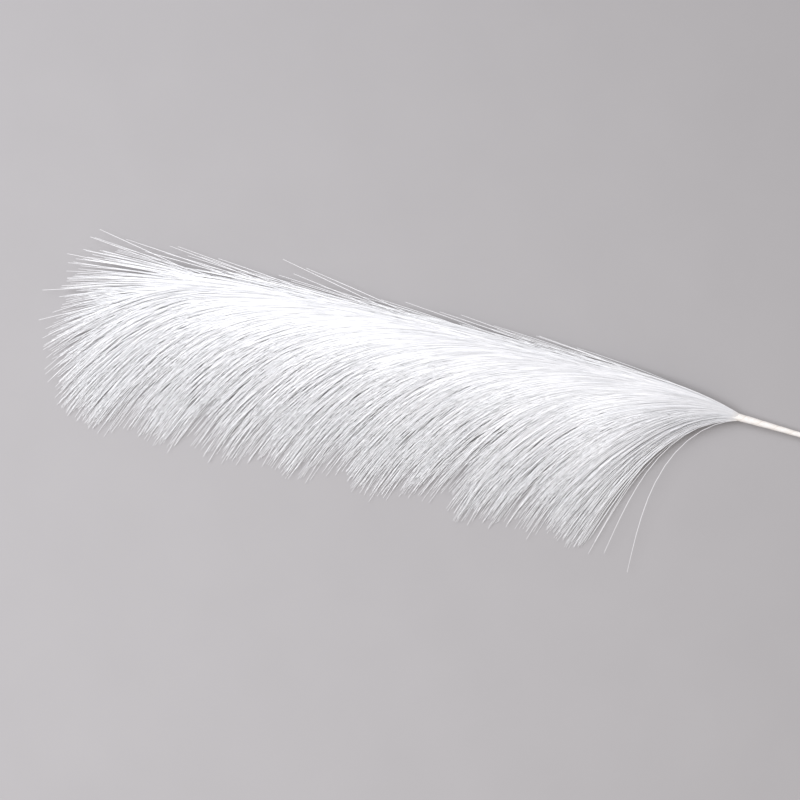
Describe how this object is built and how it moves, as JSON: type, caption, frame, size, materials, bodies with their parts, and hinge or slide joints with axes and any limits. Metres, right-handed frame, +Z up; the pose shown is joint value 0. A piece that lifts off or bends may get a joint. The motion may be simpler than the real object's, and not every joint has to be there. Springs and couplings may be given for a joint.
{
  "type": "artificial ostrich feather",
  "caption": "Long white artificial feather plume lying flat, its filaments swept back and drooping to one side of a straight tape-wrapped stem.",
  "frame": {"origin": "on the resting face under the stem, 200 mm from the plume's base towards its tip", "axes": "+X along the stem from the plume's tip to the cut end, +Z up from the surface that it lies on, the filaments droop towards -Y"},
  "size_m": [0.6436, 0.1455, 0.028],
  "materials": {
    "filament": "fine white polyester filaments, softly shiny along their length",
    "tape": "matt cream-white stretched paper tape, wound in a spiral"
  },
  "bodies": {
    "root": {"plume": "filament", "stem": "tape"}
  },
  "joints": []
}
